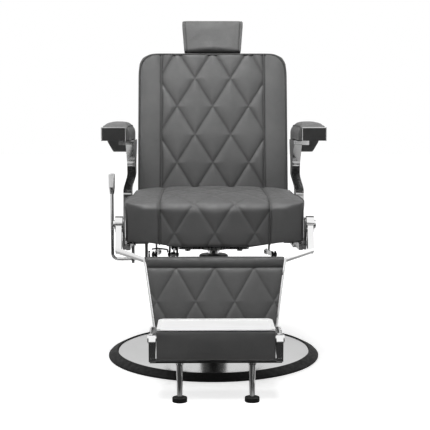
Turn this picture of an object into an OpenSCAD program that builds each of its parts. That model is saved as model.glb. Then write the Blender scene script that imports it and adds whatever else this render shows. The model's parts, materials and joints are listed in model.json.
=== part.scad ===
// Hydraulic barber chair: round pump base, swivelling seat with arms, reclining back with
// a sliding headrest, and a leg rest with a flip-over footboard and two stand legs.
// The chair faces -Y. The origin is on the floor, on the pump's axis.

/* [Base] */
// Outside diameter of the rubber ring round the base
base_d = 700; // [660:10:740]
// Width of the rubber ring, seen from above
ring_w = 30; // [24:1:36]
// Outside diameter of the hydraulic pump body
pump_d = 96; // [90:1:104]
// Height of the pump body's top above the floor
pump_top = 336; // [332:1:338]
// Diameter of the chromed ram that lifts the seat
ram_d = 40; // [36:1:44]

/* [Seat] */
// Height of the seat cushion's top above the floor, pump down
seat_top = 545; // [530:1:560]
// Width of the seat cushion's front
seat_w = 550; // [530:2:550]
// Distance from the pump's axis to the seat's front
seat_front = 300; // [290:1:302]
// Distance from the pump's axis to the seat's rear
seat_rear = 140; // [120:1:142]

/* [Arms] */
// Width of one chromed arm frame, across the chair
arm_t = 26; // [22:1:26]
// Overall width across the two armrest pads
arms_w = 716; // [700:2:720]
// Height of the armrest's front top edge
arm_top = 761; // [750:1:775]

/* [Back] */
// Width of the backrest
back_w = 532; // [500:2:534]
// Height of the backrest, along its own slope
back_h = 554; // [520:2:570]
// Lean of the backrest from upright, at rest
back_lean = 12; // [8:1:14]

/* [Headrest] */
// Width of the headrest pillow at its top
pillow_w = 220; // [200:2:260]
// Height of the headrest pillow
pillow_h = 114; // [100:2:130]

/* [Leg rest] */
// Lean of the leg rest from upright, at rest
leg_lean = 20; // [18:1:21]
// Width of the footboard
board_w = 334; // [320:2:336]
// Diameter of a stand leg at its top
stand_d = 20; // [18:1:22]

/* [Hidden] */
$fn = 64;
FIT = 0.05;          // radial running clearance of a shaft in its hole
GAP = 0.3;           // gap left between neighbouring pieces

// Heights of the seat structure
rail_z0 = 366;
beam_z0 = 374;
frame_z1 = 396;
seat_board_t = 16;
cushion_z0 = frame_z1 + seat_board_t + GAP;
hub_z0 = 349;
rail_low = 390;      // underside of the side rails' thin front ends
beam_y = 50;         // cross beams and the mount's bolts, before and behind the axis
rail_x = 269;        // outer face of the seat frame's side rails
arm_x = rail_x + 0.5;

// Pivots, as [distance in front of the pump's axis, height]
back_pivot = [-185, 440];
leg_pivot = [250, 468];
lever_pivot = [80, 335];
foot_pivot = [540, 180];
pedal_pivot = [-78, 92];
spring_pin = [130, 352.3];
pin_r = 8;           // back hinge and leg rest pivots
link_r = 5;          // link and gas spring pins
link_x = 191;        // middle plane of the link bars
link_t = 6;
spring_x = -130;     // middle plane of the gas spring

// Levers that couple the backrest to the leg rest and to the gas spring
swing = 25;          // half of the backrest's travel, in degrees
back_lever = 143;
leg_lever = 119;
spring_lever = 92;
leg_ratio = 1.2;     // leg rest travel per backrest travel
back_eye = swing_point(back_pivot, back_lever, swing);
leg_eye = swing_point(leg_pivot, leg_lever, swing * leg_ratio);
spring_eye = swing_point(back_pivot, spring_lever, swing);

// Footboard
plate_top = 212;
board_front = 562;
board_rear = 422;
board_low = 121;

function swing_point(pivot, r, a) = pivot + r * [-sin(a), -cos(a)];
function unit(v) = v / norm(v);

// Points of an arc that rounds corner b, between the edges to a and c
function corner(a, b, c, r, n) =
    let (
        u = unit(a - b),
        v = unit(c - b),
        half = acos(u * v) / 2,
        centre = b + unit(u + v) * r / sin(half),
        p = b + u * r / tan(half) - centre,
        q = b + v * r / tan(half) - centre,
        start = atan2(p[1], p[0]),
        sweep = (atan2(q[1], q[0]) - start + 540) % 360 - 180
    )
    [for (i = [0 : n]) centre + r * [cos(start + sweep * i / n), sin(start + sweep * i / n)]];

// Outline with each corner rounded to r, or to r[i]
function rounded(pts, r, n = 6) =
    let (last = len(pts) - 1)
    [for (i = [0 : last])
        each corner(pts[i == 0 ? last : i - 1], pts[i], pts[i == last ? 0 : i + 1],
            is_list(r) ? r[i] : r, n)];

// Side view outline, given as [forward, up], made solid from x0 to x1
module side_view(pts, x0, x1) {
    translate([x0, 0, 0]) rotate([90, 0, 90]) linear_extrude(x1 - x0) polygon([for (p = pts) [-p[0], p[1]]]);
}

// Plan view outline, given as [x, forward], made solid from z0 to z1
module plan_view(pts, z0, z1) {
    translate([0, 0, z0]) linear_extrude(z1 - z0) polygon([for (p = pts) [p[0], -p[1]]]);
}

// Cylinder along X at p = [forward, up]
module cross_pin(p, r, x0, x1, sides = 64) {
    translate([x0, -p[0], p[1]]) rotate([0, 90, 0]) cylinder(r = r, h = x1 - x0, $fn = sides);
}

module both_sides() {
    children();
    mirror([1, 0, 0]) children();
}

module hex_bolt(across, head, shank_r, shank) {
    cylinder(r = across / 2 / cos(30), h = head, $fn = 6);
    translate([0, 0, -shank]) cylinder(r = shank_r, h = shank + 1);
}

// ---- base ----
cover_r = base_d / 2 - ring_w;
flange_r = 100;
flange_pcd = 160;

module base_weight() {
    color("dimgray") difference() {
        translate([0, 0, 3]) cylinder(r = cover_r - 18, h = 11, $fn = 128);
        cylinder(r = 30, h = 40);
        flange_holes() cylinder(r = 5, h = 30);
    }
}

module flange_holes() {
    for (a = [45 : 90 : 315]) rotate(a) translate([flange_pcd / 2, 0, 0]) children();
}

// Low dished cover: a lip that grips the ring, then a slow rise to a flat centre
module base_cover() {
    rise = [for (i = [0 : 12]) let (r = cover_r - 6 - i * (cover_r - 6 - 112) / 12)
        [r, 20 + 16 * sin(90 * i / 12)]];
    top = concat([[cover_r - 1, 14], [cover_r - 1, 18]], rise);
    under = [for (i = [len(rise) - 1 : -1 : 0]) rise[i] - [0, 3]];
    color("gainsboro") rotate_extrude($fn = 180) polygon(concat(top, under, [[cover_r - 4, 14]]));
}

module base_ring() {
    r = base_d / 2;
    color("black") rotate_extrude($fn = 180) polygon([
        [cover_r - 14, 0], [r - 2, 0], [r, 2.5], [r, 6], [r - 5, 11], [cover_r + 3, 22],
        [cover_r - 0.7, 22], [cover_r - 0.7, 13.7], [cover_r - 14, 13.7]]);
}

module pump_body() {
    color([0.06, 0.06, 0.07]) difference() {
        union() {
            translate([0, 0, 14 + GAP]) cylinder(r = flange_r, h = 12);
            // end cap through the weight, flush with the floor
            cylinder(r = 28, h = 20);
            translate([0, 0, 20]) cylinder(r = pump_d / 2, h = pump_top - 26);
            side_view(rounded([[-30, 72], [-92, 72], [-92, 108], [-30, 108]], 6), -12, 12);
        }
        translate([0, 0, 50]) cylinder(r = 29, h = pump_top);
        flange_holes() cylinder(r = 5, h = 60);
        cross_pin(pedal_pivot, 6 + FIT, -20, 20);
    }
}

// Domed gland nut that closes the cylinder and guides the ram
module pump_gland() {
    r = pump_d / 2;
    color([0.03, 0.03, 0.03]) rotate_extrude() polygon(concat(
        [[ram_d / 2 + FIT, pump_top - 34], [28.6, pump_top - 34], [28.6, pump_top - 6 + GAP], [r,
            pump_top - 6 + GAP]],
        [for (a = [0 : 15 : 75]) [r - 9 + 9 * cos(a), pump_top - 3 + 6 * sin(a)]],
        [[ram_d / 2 + 6, pump_top + 4], [ram_d / 2 + FIT, pump_top + 4]]));
}

module pump_skirt() {
    inner = [for (i = [0 : 12]) let (t = i / 12) [116 - 66 * t, 36 + GAP + 30 * t * t]];
    outer = [for (i = [12 : -1 : 0]) inner[i] + [0, 2]];
    color("gainsboro") rotate_extrude($fn = 128) polygon(concat(inner, outer));
}

module pump_bolts() {
    color("silver") flange_holes() translate([0, 0, 26 + 2 * GAP]) hex_bolt(16, 8, 4.8, 20);
}

module pedal_pin() {
    color("silver") cross_pin(pedal_pivot, 6, -22, 22);
}

pedal_reach = 290;
function pedal_arm_outline(gap) = [for (q = [[-52, 14 + gap], [-pedal_reach - gap, 8 + gap],
    [-pedal_reach - gap, -2 - gap], [-52, -6 - gap]]) pedal_pivot + q];

module pedal_arm() {
    p = pedal_pivot;
    color([0.08, 0.08, 0.08]) difference() {
        union() {
            both_sides() side_view(rounded([p + [16, 12], p + [-60, 14], p + [-60, -6], p + [16, -14]],
                5), 13, 18);
            side_view(rounded([p + [-44, 14], p + [-60, 14], p + [-60, -6], p + [-44, -6]], 2), -18, 18);
            side_view(pedal_arm_outline(0), -14, 14);
        }
        cross_pin(p, 6 + FIT, -30, 30);
    }
}

// Rubber tread that sleeves over the pedal arm's end
module pedal_pad() {
    p = pedal_pivot;
    color("black") difference() {
        plan_view(rounded([[-42, p[0] - 308], [42, p[0] - 308], [42, p[0] - 246], [-42, p[0] - 246]], 12),
            p[1] - 10, p[1] + 20);
        side_view(pedal_arm_outline(GAP), -14 - GAP, 14 + GAP);
    }
}

// ---- ram ----
module ram() {
    color("gainsboro") {
        translate([0, 0, 112]) cylinder(r = ram_d / 2, h = hub_z0 + 3 - 112);
        translate([0, 0, hub_z0 + 2]) cylinder(r = ram_d / 2 - 4, h = 20);
    }
}

module ram_piston() {
    color("silver") difference() {
        translate([0, 0, 104]) cylinder(r = 29 - FIT, h = 30);
        translate([0, 0, 112 - GAP]) cylinder(r = ram_d / 2 + GAP, h = 40);
    }
}

module thrust_washer() {
    color("goldenrod") difference() {
        translate([0, 0, hub_z0 + 3 + GAP]) cylinder(r = ram_d / 2, h = 3);
        cylinder(r = ram_d / 2 - 4 + FIT, h = 400);
    }
}

// ---- seat structure ----
module mount_hub() {
    color([0.1, 0.1, 0.1]) difference() {
        union() {
            translate([0, 0, hub_z0 + 7]) cylinder(r = 42, h = rail_z0 - hub_z0 - 5);
            plan_view(rounded([[-115, -72], [115, -72], [115, 72], [-115, 72]], 14), rail_z0 - 2,
                beam_z0 - GAP);
        }
        translate([0, 0, 300]) cylinder(r = ram_d / 2 - 4 + FIT, h = 72 + GAP);
        mount_holes() cylinder(r = 5, h = 420);
    }
}

module mount_holes() {
    for (x = [-85, 85], y = [-beam_y, beam_y]) translate([x, y, 0]) children();
}

module mount_bolts() {
    color("silver") mount_holes() translate([0, 0, rail_z0 - 2 - GAP]) mirror([0, 0, 1])
        hex_bolt(16, 7, 4.8, 28);
}

ear_r = 18;
module seat_frame() {
    p = back_pivot;
    q = leg_pivot;
    color([0.07, 0.07, 0.07]) difference() {
        union() {
            both_sides() {
                // side rail: heavy at the rear, a flat bar on edge out to the leg rest's pivot
                translate([rail_x - 30, 60, rail_z0]) cube([30, 136, frame_z1 - rail_z0]);
                side_view(rounded([[-70, rail_z0 + 4], [70, rail_z0 + 4], [130, rail_low], [270, rail_low],
                    [270, cushion_z0 - 1.5], [-70, cushion_z0 - 1.5]], [1, 10, 30, 3, 3, 1]),
                        rail_x - 12, rail_x);
                // ear that holds the back hinge shaft
                side_view(concat([[p[0] + ear_r, frame_z1 - 10], [p[0] - 10, frame_z1 - 10]],
                    [for (a = [180 : -15 : 0]) p + ear_r * [cos(a), sin(a)]]), rail_x - 30, rail_x - 20);
                // plate outside the cushion that holds the leg rest pivot
                side_view(rounded([[222, rail_low], [270, rail_low], q + [22, -20], q + [22, 20],
                    q + [-22, 20],
                    q + [-22, -20]], [3, 6, 10, 16, 16, 10]), rail_x + 6.5, rail_x + 10.5);
                translate([rail_x - 2, -268, rail_low + 2]) cube([10, 44, 12]);
            }
            // cross beams: thin out to the rails, deep over the hub and the gas spring
            for (y = [-beam_y, beam_y]) {
                translate([-rail_x + 10, y - 20, frame_z1 - 10]) cube([2 * rail_x - 20, 40, 10]);
                translate([-152, y - 20, beam_z0]) cube([270, 40, frame_z1 - beam_z0]);
            }
            // lugs for the gas spring, hung from the front beam
            for (x = [-1, 1]) side_view(rounded([[52, frame_z1 - 6], [52, beam_z0 + 2], [74, beam_z0 + 2],
                spring_pin + [-13, -14], spring_pin + [15, -14], spring_pin + [15, 6], [72, frame_z1 - 6]],
                [1, 1, 4, 4, 8, 10, 1]), spring_x + x * 12 - 3, spring_x + x * 12 + 3);
            // lugs for the recline lever
            for (x = [-rail_x + 4, -222]) side_view(rounded([[62, 394], [98, 394], [98, 330], [88, 322],
                [72, 322], [62, 330]], 2), x, x + 8);
            translate([-rail_x + 6, -98, frame_z1 - 10]) cube([52, 40, 10]);
        }
        both_sides() cross_pin(p, pin_r + FIT, 200, 300);
        both_sides() cross_pin(q, pin_r + FIT, rail_x, 300);
        cross_pin(lever_pivot, 5.5 + FIT, -300, -200);
        // the gas spring's front pin floats in a slot
        for (dz = [-4.4, 4.4]) cross_pin(spring_pin + [0, dz], link_r + 0.6, spring_x - 20, spring_x + 20);
        translate([spring_x - 20, -spring_pin[0] - link_r - 0.6, spring_pin[1] - 4.4])
            cube([40, 2 * link_r + 1.2, 8.8]);
        mount_holes() cylinder(r = 5, h = 420);
        both_sides() arm_bolt_places() cross_pin([0, 0], 5, -60, 10);
    }
}

module arm_bolt_places() {
    for (d = [-52, 52]) translate([arm_x + 3, -d - 8, 381]) children();
}

lip_d = seat_front - 34;    // rear face of the cushion's hanging front lip
module seat_board() {
    w = rail_x - 21;
    f = lip_d - 10;
    side = [[w, 125], [198, 125], [166, 190], [100, f]];
    rear = -seat_rear + 16;
    board = rounded(concat([[w, rear]], side, [for (i = [3 : -1 : 0]) [-side[i][0], side[i][1]]], [[-w,
        rear]]),
        [20, 10, 30, 60, 20, 20, 60, 30, 10, 20]);
    color("burlywood") plan_view(board, frame_z1 + GAP, frame_z1 + GAP + seat_board_t);
}

module seat_cushion() {
    w = seat_w / 2;
    n = rail_x - 5;
    f = seat_front;
    r = -seat_rear;
    // the middle of the front hangs lower, as a lip before the board's edge
    low = cushion_z0 - 12;
    plan = rounded([[w, 95], [w, f - 26], [w - 60, f - 4], [0, f], [-w + 60, f - 4], [-w, f - 26], [-w, 95],
        [-n, 82], [-n, r], [n, r], [n, 82]], [6, 22, 30, 600, 30, 22, 6, 6, 30, 30, 6]);
    profile = rounded([[r - 1, cushion_z0], [lip_d, cushion_z0], [lip_d, low], [f + 1, low], [f + 1,
        seat_top],
        [r - 1, seat_top]], [8, 1, 4, 12, 44, 24]);
    front = rounded([[-300, cushion_z0 + 1], [-205, cushion_z0 + 1], [-110, low], [110, low], [205,
        cushion_z0 + 1],
        [300, cushion_z0 + 1], [300, 600], [-300, 600]], [1, 200, 200, 200, 200, 1, 1, 1]);
    color([0.3, 0.3, 0.31]) intersection() {
        plan_view(plan, low, seat_top);
        side_view(profile, -400, 400);
        translate([0, 400, 0]) rotate([90, 0, 0]) linear_extrude(800) polygon(front);
    }
}

// ---- arms ----
arm_seat = arm_top - 44;   // underside of the armrest's front part
arm_jog = 14;              // the arm stands this much further in above the seat
module arm_frame() {
    joggle = [[arm_x, rail_z0 - 1], [arm_x, 558], [arm_x - arm_jog, 602], [arm_x - arm_jog, arm_seat]];
    profile = rounded([[-95, rail_z0], [80, rail_z0], [72, 405], [38, 450], [26, 540], [34, 640], [90,
        arm_seat - 12],
        [90, arm_seat - GAP], [-70, arm_seat - GAP], [-70, arm_seat - 12], [-32, 640], [-36, 540], [-48,
            450], [-88, 405]],
        [8, 8, 20, 60, 90, 40, 4, 1, 1, 4, 40, 90, 60, 20]);
    color("gainsboro") difference() {
        union() {
            intersection() {
                side_view(profile, arm_x - arm_jog, arm_x + arm_t);
                translate([0, 300, 0]) rotate([90, 0, 0]) linear_extrude(600) polygon(rounded(
                    concat([for (p = joggle) p + [arm_t, 0]], [for (i = [3 : -1 : 0]) joggle[i]]),
                    [1, 60, 60, 1, 1, 60, 60, 1]));
            }
            translate([arm_x - arm_jog, -80, arm_seat - 14]) cube([arm_t + 24, 140, 14 - GAP]);
        }
        arm_bolt_places() cross_pin([0, 0], 5, -60, 60);
    }
}

module arm_bolts() {
    color("silver") both_sides() arm_bolt_places() translate([arm_t - 3 + GAP, 0, 0]) rotate([0, 90, 0])
        hex_bolt(16, 7, 4.8, arm_t + 16);
}

pad_front = 120;
pad_rear = -168;
pad_x0 = arms_w / 2 - 92;
pad_x1 = arms_w / 2;
module armrest_pad() {
    profile = rounded([[pad_front, arm_seat], [pad_front, arm_top], [60, arm_top + 15], [-90, arm_top + 15],
        [pad_rear, arm_top - 4], [pad_rear, arm_seat - 30], [-150, arm_seat - 46], [-110, arm_seat - 46],
        [-84, arm_seat]], [1, 1, 120, 120, 22, 20, 14, 16, 8]);
    x0 = pad_x0;
    x1 = pad_x1;
    front = rounded([[x0 + 10, arm_seat - 50], [x1 - 20, arm_seat - 50], [x1, arm_seat - 10], [x1,
        arm_top - 10],
        [x1 - 14, arm_top + 15], [x0 + 14, arm_top + 15], [x0, arm_top - 14], [x0, arm_seat - 16]],
        [10, 14, 16, 16, 16, 16, 16, 16]);
    color([0.3, 0.3, 0.31]) intersection() {
        side_view(profile, x0, x1);
        translate([0, 300, 0]) rotate([90, 0, 0]) linear_extrude(600) polygon(front);
    }
}

cap_x0 = pad_x0 + 12;
cap_x1 = pad_x1 - 2;
module armrest_cap() {
    color([0.15, 0.15, 0.15]) translate([cap_x0 + 3, -pad_front - 4, arm_seat + 1])
        cube([cap_x1 - cap_x0 - 6, 4 - GAP, arm_top - arm_seat - 5]);
}

module armrest_trim() {
    w = cap_x1 - cap_x0;
    h = arm_top - arm_seat;
    color("gainsboro") difference() {
        translate([cap_x0, -pad_front - 5, arm_seat]) cube([w, 5 - GAP, h]);
        translate([cap_x0 + 3 - GAP, -pad_front - 6, arm_seat - 1]) cube([w - 6 + 2 * GAP, 8, h - 3 + GAP]);
    }
}

// ---- pivots, lever and gas spring ----
module legrest_pivots() {
    color("gainsboro") both_sides() {
        cross_pin(leg_pivot, pin_r, rail_x + 6.8, 305);
        cross_pin(leg_pivot, 13, 304, 309);
    }
}

module back_hinge_shaft() {
    color("silver") cross_pin(back_pivot, pin_r, -rail_x + 4, rail_x - 4);
}

lever_x = -328;
lever_bend = 18;
lever_top = 556;
module lever_rod() {
    p = lever_pivot;
    color("gainsboro") {
        cross_pin(p, 5.5, lever_x + lever_bend, -205);
        translate([lever_x + lever_bend, -p[0], p[1] + lever_bend]) rotate([-90, 90, 0])
            rotate_extrude(angle = 90) translate([lever_bend, 0]) circle(5.5);
        translate([lever_x, -p[0], p[1] + lever_bend - 0.01]) cylinder(r = 5.5,
            h = lever_top - p[1] - lever_bend);
        side_view(rounded([p + [-9, -9], p + [9, -9], p + [6, 26], p + [-6, 26]], [8, 8, 5, 5]), -212, -206);
    }
}

module lever_grip() {
    color("gainsboro") translate([lever_x, -lever_pivot[0], 0]) rotate_extrude() polygon(concat(
        [[0, lever_top + GAP], [5.5 + FIT, lever_top + GAP], [5.5 + FIT, 546], [7, 546], [10, 566]],
        [for (a = [0 : 15 : 90]) [7 + 3.5 * cos(a), 608 + 3.5 * sin(a)]], [[0, 611.5]]));
}

module release_cable() {
    path = [[-200, 74, 366], [-180, 78, 369], [-150, 106, 369], [-148, 122, 364]];
    color([0.05, 0.05, 0.05]) for (i = [0 : 2]) hull() {
        for (q = [path[i], path[i + 1]]) translate([q[0], -q[1], q[2]]) sphere(2.5, $fn = 16);
    }
}

spring_len = 190;    // gas cylinder, from its rear eye
piston_r = 9.4;
module gas_cylinder() {
    g = spring_eye;
    bore = piston_r + FIT;
    color([0.05, 0.05, 0.05]) difference() {
        union() {
            translate([spring_x, -g[0], g[1]]) rotate([90, 0, 0]) rotate_extrude() polygon([
                [0, -2], [6, -2], [6, 14], [12, 20], [12, spring_len], [4 + FIT, spring_len],
                [4 + FIT, spring_len - 10], [bore, spring_len - 10], [bore, 66], [0, 66]]);
            cross_pin(g, 11, spring_x - 7, spring_x + 7);
        }
        cross_pin(g, link_r + FIT, spring_x - 20, spring_x + 20);
    }
}

module gas_rod() {
    g = spring_eye;
    front = spring_pin[0];
    color("gainsboro") {
        translate([spring_x, -g[0] - 168, g[1]]) rotate([90, 0, 0]) cylinder(r = 4, h = front - g[0] - 168);
        translate([spring_x, -g[0] - 162, g[1]]) rotate([90, 0, 0]) cylinder(r = piston_r, h = 12);
        cross_pin([front, g[1]], 8, spring_x - 7, spring_x + 7);
        cross_pin([front, g[1]], link_r, spring_x - 18, spring_x + 18);
    }
}

// ---- back ----
function back_point(y, z) = back_pivot + [-(y * cos(back_lean) + z * sin(back_lean)),
    z * cos(back_lean) - y * sin(back_lean)];

// Front view outline made solid between two depths of the leaning back
module back_layer(y0, y1) {
    translate([0, -back_pivot[0], back_pivot[1]]) rotate([-back_lean, 0, 0]) translate([0, y1, 0])
        rotate([90, 0, 0]) linear_extrude(y1 - y0) children();
}

back_z0 = 24;
back_z1 = back_z0 + back_h;
function back_outline(inset) = let (w = back_w / 2 - inset) rounded(
    [[-w, back_z0 + inset], [w, back_z0 + inset], [w, back_z1 - 60], [w - 6, back_z1 - inset],
     [-w + 6, back_z1 - inset], [-w, back_z1 - 60]], [20, 20, 60, 46, 46, 60]);

module back_cushion() {
    color([0.3, 0.3, 0.31]) back_layer(-45, 20) polygon(back_outline(3));
}

module back_board() {
    color("burlywood") back_layer(20 + GAP, 32) polygon(back_outline(8));
}

socket_z0 = 390;
module back_shell() {
    color([0.3, 0.3, 0.31]) difference() {
        back_layer(32 + GAP, 62) polygon(back_outline(4));
        back_layer(30, 58) polygon(back_outline(8));
        back_layer(30, 58) translate([-back_w / 2 + 8, 0]) square([back_w - 16, 60]);
        back_layer(30, 48) translate([-24, back_z1 - 40]) square([48, 60]);
        back_layer(50, 70) translate([0, 505]) circle(6.3);
    }
}

bar_x = 200;         // middle plane of the back frame's side plates
module back_frame() {
    upper = [for (q = [[33, 340], [45, 340], [45, 8], [20, -17], [-14, -12], [-17, 6], [-6, 17], [33, 20]])
        back_point(q[0], q[1])];
    down = unit(back_eye - back_pivot);
    across = [down[1], -down[0]];
    color([0.07, 0.07, 0.07]) difference() {
        union() {
            both_sides() {
                side_view(upper, bar_x - 3, bar_x + 3);
                cross_pin(back_pivot, 17, bar_x - 3, bar_x + 3);
                cross_pin(back_eye, 11, bar_x - 3, bar_x + 3);
                side_view([back_pivot + 15 * across, back_eye + 11 * across, back_eye - 11 * across,
                    back_pivot - 15 * across], bar_x - 3, bar_x + 3);
            }
            for (z = [90, 320]) back_layer(33, 39) translate([-bar_x, z]) square([2 * bar_x, 30]);
        }
        both_sides() {
            cross_pin(back_pivot, pin_r + FIT, bar_x - 10, bar_x + 10);
            cross_pin(back_eye, link_r + FIT, bar_x - 10, bar_x + 10);
            cross_pin(spring_eye, link_r + FIT, bar_x - 10, bar_x + 10);
        }
    }
}

module back_cross_rod() {
    color("silver") cross_pin(spring_eye, link_r, -bar_x - 6, bar_x + 6);
}

module link_pins() {
    color("silver") both_sides() {
        cross_pin(back_eye, link_r, link_x - 5, bar_x + 6);
        cross_pin(back_eye, 8, link_x - 8, link_x - 4);
    }
}

module headrest_socket() {
    color("silver") difference() {
        union() {
            back_layer(33, 45) translate([-22, socket_z0]) square([44, back_z1 - socket_z0 - 1]);
            back_layer(33, 36) translate([-22, 352]) square([44, 60]);
        }
        back_layer(36, 42.4) translate([-17.2, socket_z0 + 6]) square([34.4, 400]);
    }
}

module headrest_button() {
    color("black") {
        back_layer(51, 68) translate([0, 505]) circle(6);
        back_layer(67.5, 71) translate([0, 505]) circle(10);
    }
}

// ---- headrest ----
pillow_z0 = back_z1 + 2;
pillow_z1 = pillow_z0 + pillow_h;
function pillow_outline(inset) = let (a = pillow_w / 2 - 9 - inset, b = pillow_w / 2 - inset) rounded(
    [[-a, pillow_z0 + inset], [a, pillow_z0 + inset], [b, pillow_z1 - inset], [-b, pillow_z1 - inset]], 8);

module headrest_bar() {
    color("silver") back_layer(36.2, 42.2) polygon(rounded(
        [[-17, socket_z0 + 10], [17, socket_z0 + 10], [17, pillow_z1 - 30], [-17, pillow_z1 - 30]], 4));
}

module headrest_board() {
    color("burlywood") back_layer(25 + GAP, 36) polygon(pillow_outline(8));
}

module headrest_cushion() {
    color([0.3, 0.3, 0.31]) back_layer(-45, 25) polygon(pillow_outline(0));
}

// ---- links between the back and the leg rest ----
module link() {
    slack = [-0.9, -1.3];
    hole = leg_eye + slack;
    along = unit(hole - back_eye);
    across = [along[1], -along[0]];
    color([0.05, 0.05, 0.05]) difference() {
        union() {
            side_view([back_eye + 8 * across, hole + 8 * across, hole - 8 * across, back_eye - 8 * across],
                link_x - link_t / 2, link_x + link_t / 2);
            cross_pin(back_eye, 11, link_x - link_t / 2, link_x + link_t / 2);
            cross_pin(hole, 12, link_x - link_t / 2, link_x + link_t / 2);
        }
        cross_pin(back_eye, link_r + FIT, link_x - 10, link_x + 10);
        cross_pin(hole, link_r + 1.9, link_x - 10, link_x + 10);
    }
}

// ---- leg rest ----
leg_top = [332, 374];
pad_top_x = 209;
pad_low_x = 174;
leg_len = 230;       // taper of the side plates ends here
function leg_point(u, n) = leg_top + u * [sin(leg_lean), -cos(leg_lean)] + n * [cos(leg_lean), sin(leg_lean)];

// Block in the leg rest's own frame: u runs down its face and n out of it
module leg_block(x0, x1, u0, u1, n0, n1) {
    translate([0, -leg_top[0], leg_top[1]]) rotate([-leg_lean, 0, 0])
        translate([x0, -n1, -u1]) cube([x1 - x0, n1 - n0, u1 - u0]);
}

plate_t = 3.5;
plate_top_x = pad_top_x + 1.5;
plate_low_x = pad_low_x + 1.5;
plate_n = -66;
function plate_x(u) = plate_low_x + (plate_top_x - plate_low_x) * (leg_len - u) / (leg_len + 2);

module legrest_arm() {
    color("gainsboro") difference() {
        union() {
            cross_pin(leg_pivot, 25, 280, 303);
            hull() {
                cross_pin(leg_pivot, 20, 283, 300, 32);
                leg_block(280, 299, -36, -24, -46, -6);
            }
            hull() {
                leg_block(280, 299, -32, -26, -46, -6);
                leg_block(plate_top_x, plate_top_x + plate_t, -5, 3, -46, -4);
            }
            hull() {
                leg_block(plate_top_x, plate_top_x + plate_t, -2, 3, plate_n, -4);
                leg_block(plate_low_x, plate_low_x + plate_t, leg_len, leg_len + 4, -46, -4);
            }
        }
        cross_pin(leg_pivot, pin_r + FIT, 270, 310);
    }
}

tube_n = -62;
tube_r = 8;
module legrest_tubes() {
    top = leg_point(30, tube_n);
    low = leg_point(160, tube_n);
    eye = leg_eye;
    along = unit(top - eye);
    across = [along[1], -along[0]];
    color([0.07, 0.07, 0.07]) {
        cross_pin(top, tube_r, -plate_x(40) + GAP, plate_x(40) - GAP);
        cross_pin(low, tube_r, -plate_x(170) + GAP, plate_x(170) - GAP);
        both_sides() {
            leg_block(110, 140, 20, 170, tube_n - 4, -53);
            // lever plate and stud for the link
            side_view([top + 9 * across, eye + 9 * across, eye - 9 * across, top - 9 * across],
                link_x - 13, link_x - 7);
            cross_pin(eye, 10, link_x - 13, link_x - 7);
            cross_pin(eye, link_r, link_x - 12, link_x + 5);
        }
    }
}

module calf_outline(inset, u0, u1, n0, n1) {
    slope = (pad_top_x - pad_low_x) / leg_len;
    xa = pad_top_x - slope * u0 - inset;
    xb = pad_top_x - slope * u1 - inset;
    translate([0, -leg_top[0], leg_top[1]]) rotate([-leg_lean, 0, 0]) translate([0, -n0, 0])
        rotate([90, 0, 0]) linear_extrude(n1 - n0) polygon([[-xa, -u0], [xa, -u0], [xb, -u1], [-xb, -u1]]);
}

calf_len = 215;
module calf_board() {
    color("burlywood") calf_outline(4, 6, calf_len, -52, -40 - GAP);
}

module calf_pad() {
    color([0.3, 0.3, 0.31]) intersection() {
        calf_outline(0, -9, calf_len, -40, 5);
        side_view(rounded([leg_point(-9, -42), leg_point(-9, 5), leg_point(calf_len + 2, 5),
            leg_point(calf_len + 2, -42)], [2, 12, 10, 2]), -300, 300);
    }
}

bracket_x = board_w / 2 + 1.5;
bracket_t = 19;
module foot_bracket() {
    p = foot_pivot;
    front = rounded([[440, 192], [505, 178], p + [-14, 12], p + [12, 12], [562, 176], [562, 118], [490, 118],
        [440, 137]], [3, 30, 10, 12, 6, 3, 40, 3]);
    strap = rounded([[368, 146], [368, 178], [470, 190], [470, 130], [430, 138]], [10, 14, 3, 3, 60]);
    color("gainsboro") difference() {
        union() {
            side_view(front, bracket_x, bracket_x + bracket_t);
            side_view(strap, bracket_x + bracket_t - 3, bracket_x + bracket_t + 2);
            // heads of the bolts that hold the strap to the leg rest's side plate
            for (d = [384, 408]) cross_pin([d, 160], 6, bracket_x + bracket_t + 1, bracket_x + bracket_t + 5);
        }
        cross_pin(p, pin_r + FIT, 100, 250);
        // flutes down the front face
        for (x = [4.5, 11]) translate([bracket_x + x, -564, 128]) cube([3.5, 5, 38]);
    }
}

module foot_tie_bar() {
    w = bracket_x + bracket_t - 2;
    color([0.07, 0.07, 0.07]) plan_view(rounded([[-w, 518], [w, 518], [w, 552], [-w, 552]], 3), 113,
        118 - GAP);
}

stand_x = 102;
module stand_legs() {
    color("gainsboro") for (x = [-stand_x, stand_x]) translate([x, -foot_pivot[0], 0]) {
        translate([0, 0, 6]) cylinder(r1 = 7, r2 = stand_d / 2, h = 104);
        translate([0, 0, 106]) cylinder(r = stand_d / 2 + 2, h = 7 - GAP);
    }
}

module stand_tips() {
    color("black") for (x = [-stand_x, stand_x]) translate([x, -foot_pivot[0], 0]) difference() {
        cylinder(r = 21, h = 12);
        translate([0, 0, 6 - GAP]) cylinder(r = 8, h = 20);
    }
}

// ---- footboard ----
module footboard_plate() {
    w = board_w / 2 - 2;
    outer = rounded([[-w, board_rear + 2], [w, board_rear + 2], [w, board_front - 2], [-w, board_front - 2]],
        [18, 18, 3, 3]);
    inner = rounded([[-w + 11, board_rear + 10], [w - 11, board_rear + 10], [w - 11, board_front],
        [-w + 11, board_front]], [10, 10, 1, 1]);
    color("white") difference() {
        plan_view(outer, plate_top - 5, plate_top);
        plan_view(inner, plate_top - 2.5, plate_top + 5);
    }
}

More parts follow.
